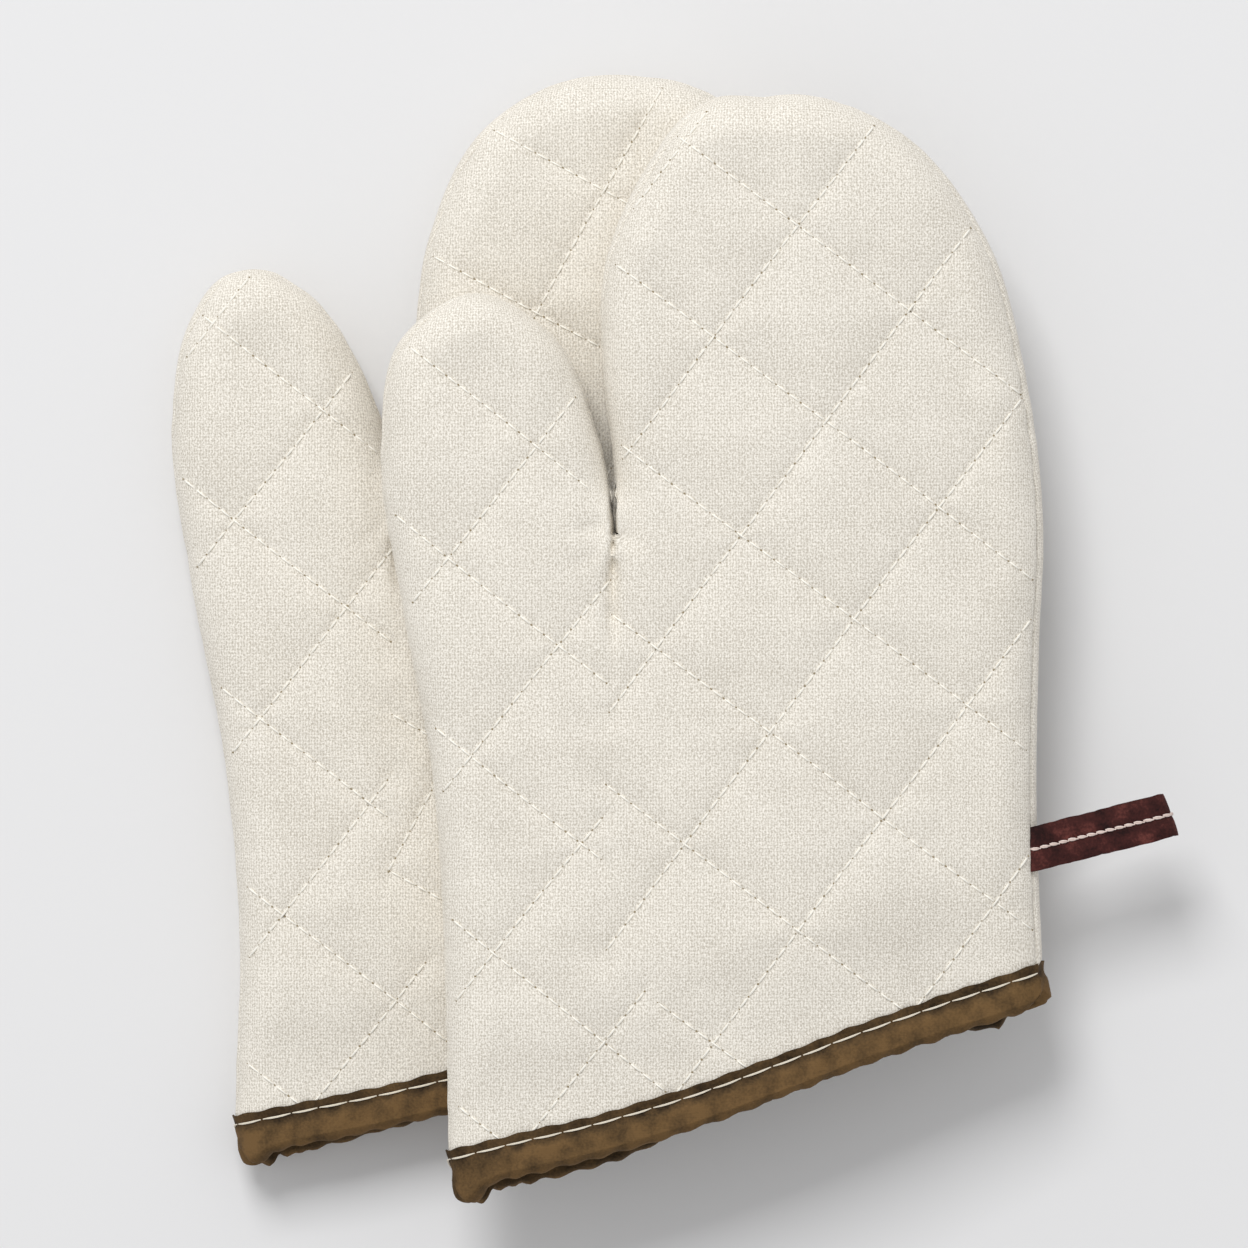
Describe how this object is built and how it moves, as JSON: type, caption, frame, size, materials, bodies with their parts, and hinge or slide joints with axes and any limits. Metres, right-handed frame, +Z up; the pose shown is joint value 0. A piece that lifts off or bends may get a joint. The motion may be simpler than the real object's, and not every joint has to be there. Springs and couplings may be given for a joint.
{
  "type": "oven glove",
  "caption": "Quilted cloth oven mitts lying one on the other, padded and lined, each with a thumb, a folded tape round the slanted cuff and a tape hang loop in the side seam",
  "frame": {"origin": "centre of the box round both mitts, on the table that the lower mitt lies on", "axes": "+Y points to the fingertips, +X away from the thumbs towards the hang loops, +Z up from the table"},
  "size_m": [0.2732, 0.3054, 0.0532],
  "materials": {
    "cream_cloth": "matte woven cotton",
    "cotton_batting": "soft felted cotton",
    "lining_cloth": "matte plain weave",
    "olive_tape": "low sheen woven tape",
    "burgundy_tape": "matte woven tape"
  },
  "bodies": {
    "bottom_mitt": {"bottom_front_face": "cream_cloth", "bottom_front_batting": "cotton_batting", "bottom_front_lining": "lining_cloth", "bottom_palm_face": "cream_cloth", "bottom_palm_batting": "cotton_batting", "bottom_palm_lining": "lining_cloth", "bottom_cuff_binding": "olive_tape"},
    "bottom_loop": {"bottom_hang_loop": "burgundy_tape"},
    "top_mitt": {"top_front_face": "cream_cloth", "top_front_batting": "cotton_batting", "top_front_lining": "lining_cloth", "top_palm_face": "cream_cloth", "top_palm_batting": "cotton_batting", "top_palm_lining": "lining_cloth", "top_cuff_binding": "olive_tape"},
    "top_loop": {"top_hang_loop": "burgundy_tape"}
  },
  "joints": [
    {"name": "top_mitt_lift", "type": "slide", "parent": "bottom_mitt", "child": "top_mitt", "axis": [0, 0, 1], "range_m": [0, 0.09]},
    {"name": "top_loop_swing", "type": "hinge", "parent": "top_mitt", "child": "top_loop", "pos_m": [0.1005, -0.05745, 0.03187], "axis": [0.0236, -0.9997, 0], "range_deg": [-50, 80], "stiffness_Nm_per_rad": 0.004},
    {"name": "bottom_loop_swing", "type": "hinge", "parent": "bottom_mitt", "child": "bottom_loop", "pos_m": [0.03685, -0.05059, 0.01285], "axis": [0.0553, -0.9985, 0], "range_deg": [0, 13], "stiffness_Nm_per_rad": 0.004}
  ]
}
